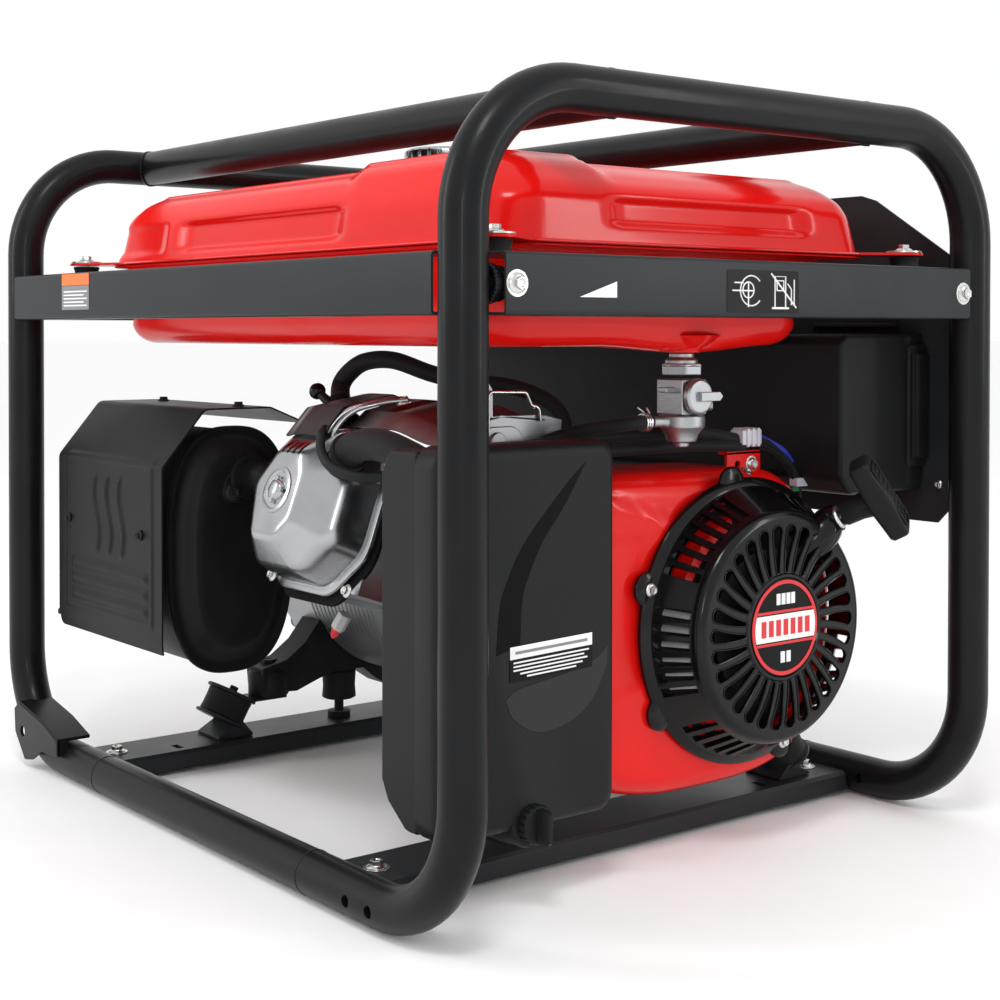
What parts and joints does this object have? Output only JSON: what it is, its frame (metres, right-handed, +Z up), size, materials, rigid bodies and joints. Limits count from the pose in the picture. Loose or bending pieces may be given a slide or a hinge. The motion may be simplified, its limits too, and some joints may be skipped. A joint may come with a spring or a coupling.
{
  "type": "portable generator",
  "caption": "Open-frame petrol generator: black tube frame, red fuel tank, single-cylinder engine with recoil starter and box air cleaner, coaxial alternator, muffler and socket panel.",
  "frame": {"origin": "on the ground under the middle of the tube frame", "axes": "+Z up, +X along the crankshaft towards the recoil starter, +Y towards the control panel"},
  "size_m": [0.728, 0.55, 0.57],
  "materials": {
    "frame_black": "satin black powder coat",
    "beam_black": "satin charcoal powder coat",
    "tank_red": "gloss red paint",
    "alloy": "die-cast, matt",
    "bright_steel": "bright stamped steel",
    "zinc": "zinc plated",
    "rubber_black": "matt",
    "plastic_black": "fine texture",
    "gloss_black": "gloss",
    "muffler_black": "matt heat-resistant black",
    "cast_black": "painted black",
    "switch_red": "gloss",
    "foam_grey": "open foam",
    "rope_white": "braided cord"
  },
  "bodies": {
    "frame": {"hoop_front": "frame_black", "hoop_rear": "frame_black", "bottom_rail_left": "frame_black", "bottom_rail_right": "frame_black", "top_rail_left": "frame_black", "top_rail_right": "frame_black", "end_beam_front": "beam_black", "end_beam_rear": "beam_black", "side_beam": "beam_black", "cross_beam_front": "beam_black", "cross_beam_rear": "beam_black", "tank_upper": "tank_red", "tank_lower": "tank_red", "tank_mount_front_left": "rubber_black", "tank_mount_front_right": "rubber_black", "tank_mount_rear_left": "rubber_black", "tank_mount_rear_right": "rubber_black", "fuel_valve": "alloy", "fuel_hose": "rubber_black", "engine_block": "alloy", "cylinder_head": "alloy", "valve_cover": "bright_steel", "head_shroud": "alloy", "spark_plug": "bright_steel", "carburettor": "alloy", "intake_elbow": "plastic_black", "blower_housing": "tank_red", "recoil_cover": "gloss_black", "air_cleaner_base": "plastic_black", "air_filter": "foam_grey", "muffler": "muffler_black", "muffler_shield": "muffler_black", "exhaust_pipe": "muffler_black", "alternator_housing": "alloy", "foot_bracket": "cast_black", "mount_rear_left": "rubber_black", "mount_rear_right": "rubber_black", "mount_rear_centre": "rubber_black", "mount_front_left": "rubber_black", "mount_front_right": "rubber_black", "panel_sheet": "beam_black", "panel_box": "plastic_black", "socket_plate": "plastic_black", "wiring_loom": "rubber_black", "plug_lead": "rubber_black"},
    "crank": {"crankshaft": "bright_steel", "flywheel": "alloy", "rotor": "cast_black"},
    "reel": {"starter_reel": "plastic_black"},
    "handle": {"starter_handle": "plastic_black", "starter_rope": "rope_white"},
    "piston": {"piston": "alloy"},
    "fuel_cap": {"fuel_cap": "bright_steel"},
    "valve_lever": {"fuel_valve_lever": "bright_steel"},
    "choke": {"choke_lever": "zinc"},
    "cleaner_cover": {"air_cleaner_cover": "plastic_black"},
    "cleaner_knob": {"air_cleaner_knob": "plastic_black"},
    "dipstick": {"oil_dipstick": "plastic_black"},
    "switch": {"engine_switch": "switch_red"},
    "breaker": {"breaker_button": "gloss_black"}
  },
  "joints": [
    {"name": "crank_spin", "type": "hinge", "parent": "frame", "child": "crank", "pos_m": [0, 0.075, 0.172], "axis": [1, 0, 0], "continuous": true},
    {"name": "starter_pull", "type": "slide", "parent": "frame", "child": "handle", "axis": [0.8016, 0.3808, 0.4609], "range_m": [0, 0.5], "stiffness_N_per_m": 12, "springref_m": -0.8},
    {"name": "reel_spin", "type": "hinge", "parent": "frame", "child": "reel", "pos_m": [0.2723, 0.075, 0.172], "axis": [1, 0, 0], "range_deg": [-640, 0]},
    {"name": "piston_stroke", "type": "slide", "parent": "frame", "child": "piston", "axis": [0, -0.9426, 0.3338], "range_m": [0, 0.066]},
    {"name": "fuel_cap_lift", "type": "slide", "parent": "frame", "child": "fuel_cap", "axis": [0, 0, 1], "range_m": [0, 0.05]},
    {"name": "valve_lever_turn", "type": "hinge", "parent": "frame", "child": "valve_lever", "pos_m": [0.2613, 0.024, 0.3467], "axis": [1, 0, 0], "range_deg": [0, 90]},
    {"name": "choke_turn", "type": "hinge", "parent": "frame", "child": "choke", "pos_m": [0.153, -0.123, 0.288], "axis": [0, 0, 1], "range_deg": [0, 50]},
    {"name": "cleaner_cover_pull", "type": "slide", "parent": "frame", "child": "cleaner_cover", "axis": [1, 0, 0], "range_m": [0, 0.08]},
    {"name": "cleaner_knob_turn", "type": "hinge", "parent": "cleaner_cover", "child": "cleaner_knob", "pos_m": [0.2903, -0.15875, 0.062], "axis": [1, 0, 0], "range_deg": [0, 720]},
    {"name": "dipstick_pull", "type": "slide", "parent": "frame", "child": "dipstick", "axis": [0, -1, 0], "range_m": [0, 0.03]},
    {"name": "switch_rock", "type": "hinge", "parent": "frame", "child": "switch", "pos_m": [0.11, 0.267, 0.335], "axis": [1, 0, 0], "range_deg": [-6, 6]},
    {"name": "breaker_push", "type": "slide", "parent": "frame", "child": "breaker", "axis": [0, -1, 0], "range_m": [0, 0.003], "stiffness_N_per_m": 400}
  ],
  "couplings": [
    {"joint": "reel_spin", "follows": "starter_pull", "rad_per_m": -22.222}
  ]
}
